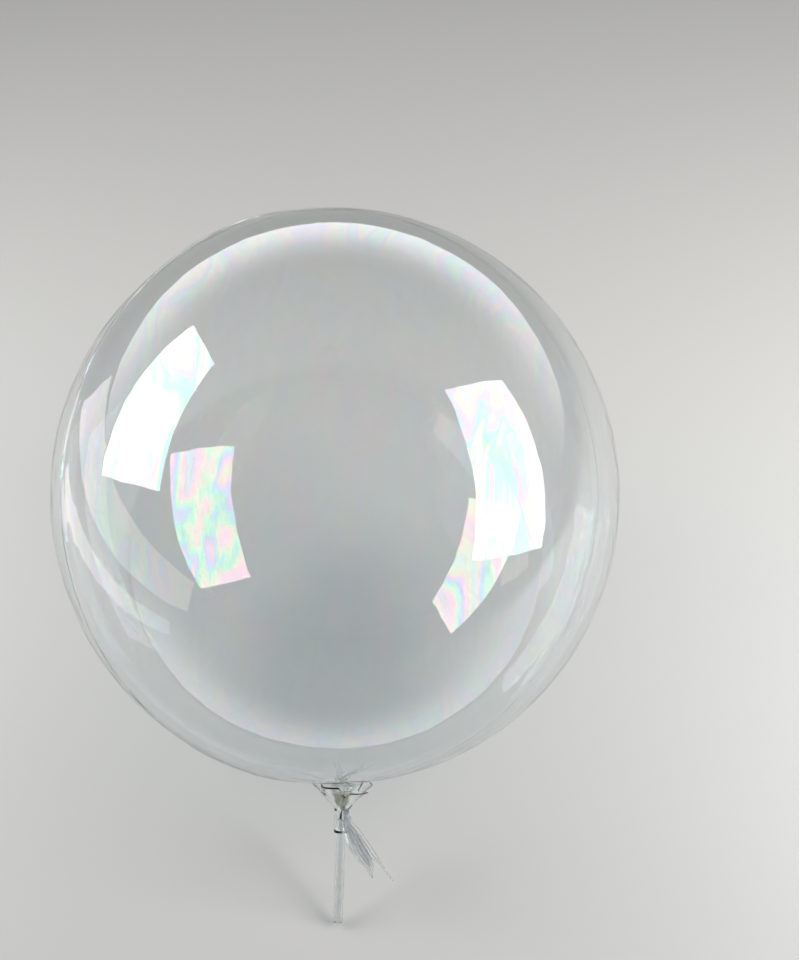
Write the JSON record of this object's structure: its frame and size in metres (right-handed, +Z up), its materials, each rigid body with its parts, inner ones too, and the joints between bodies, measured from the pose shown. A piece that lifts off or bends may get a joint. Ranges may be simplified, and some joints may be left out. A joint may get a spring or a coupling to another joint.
{
  "type": "clear bubble balloon",
  "caption": "Inflated clear bubble balloon with a gathered, knotted neck, held in a clear petalled cup on a short clear tube stick, lying on its side.",
  "frame": {"origin": "centre of the box on the floor, under the lying balloon", "axes": "+Z up from the floor, +Y from the stick's end towards the ball, +X to the right of the stick seen from its end"},
  "size_m": [0.4488, 0.4872, 0.4501],
  "materials": {
    "clear_film": "thin clear film, glossy, faint pastel sheen",
    "cup_plastic": "clear moulded plastic, glossy",
    "stick_plastic": "clear extruded plastic tube, glossy"
  },
  "bodies": {
    "root": {"balloon": "clear_film", "cup": "cup_plastic", "stick": "stick_plastic"}
  },
  "joints": []
}
